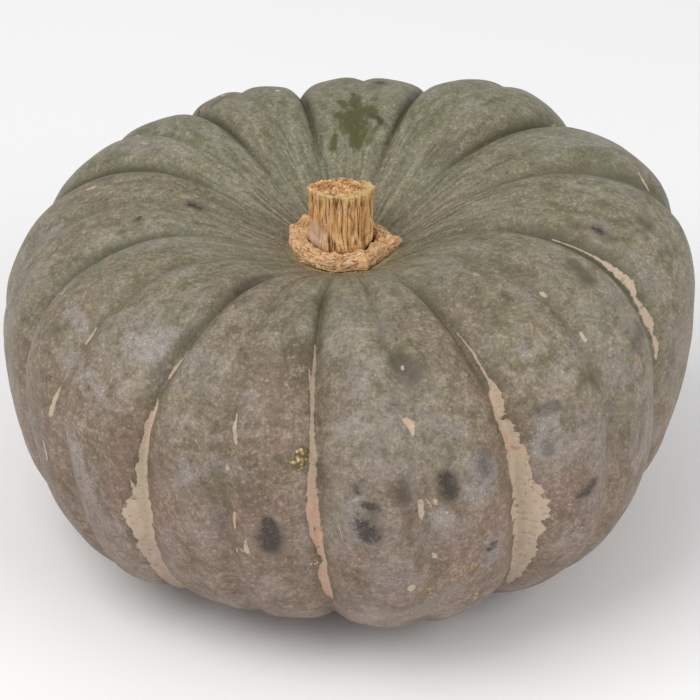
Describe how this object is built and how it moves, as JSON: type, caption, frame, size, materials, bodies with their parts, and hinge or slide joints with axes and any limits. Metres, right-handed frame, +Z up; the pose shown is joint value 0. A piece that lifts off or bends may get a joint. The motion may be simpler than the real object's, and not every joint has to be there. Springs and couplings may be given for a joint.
{
  "type": "pumpkin",
  "caption": "Flat ribbed pumpkin with grey-green skin, cork-scarred grooves and a short corky stem, resting on its lobes.",
  "frame": {"origin": "on the floor, below the middle of the fruit's bounding box", "axes": "+Z up through the stem, -Y towards the side that the picture shows as the front, +X to its right"},
  "size_m": [0.2952, 0.3016, 0.1622],
  "materials": {
    "skin": "mottled grey-green rind, satin, with tan cork scars in the grooves",
    "cork": "dry fissured cork"
  },
  "bodies": {
    "root": {"fruit": "skin", "stem": "cork"}
  },
  "joints": []
}
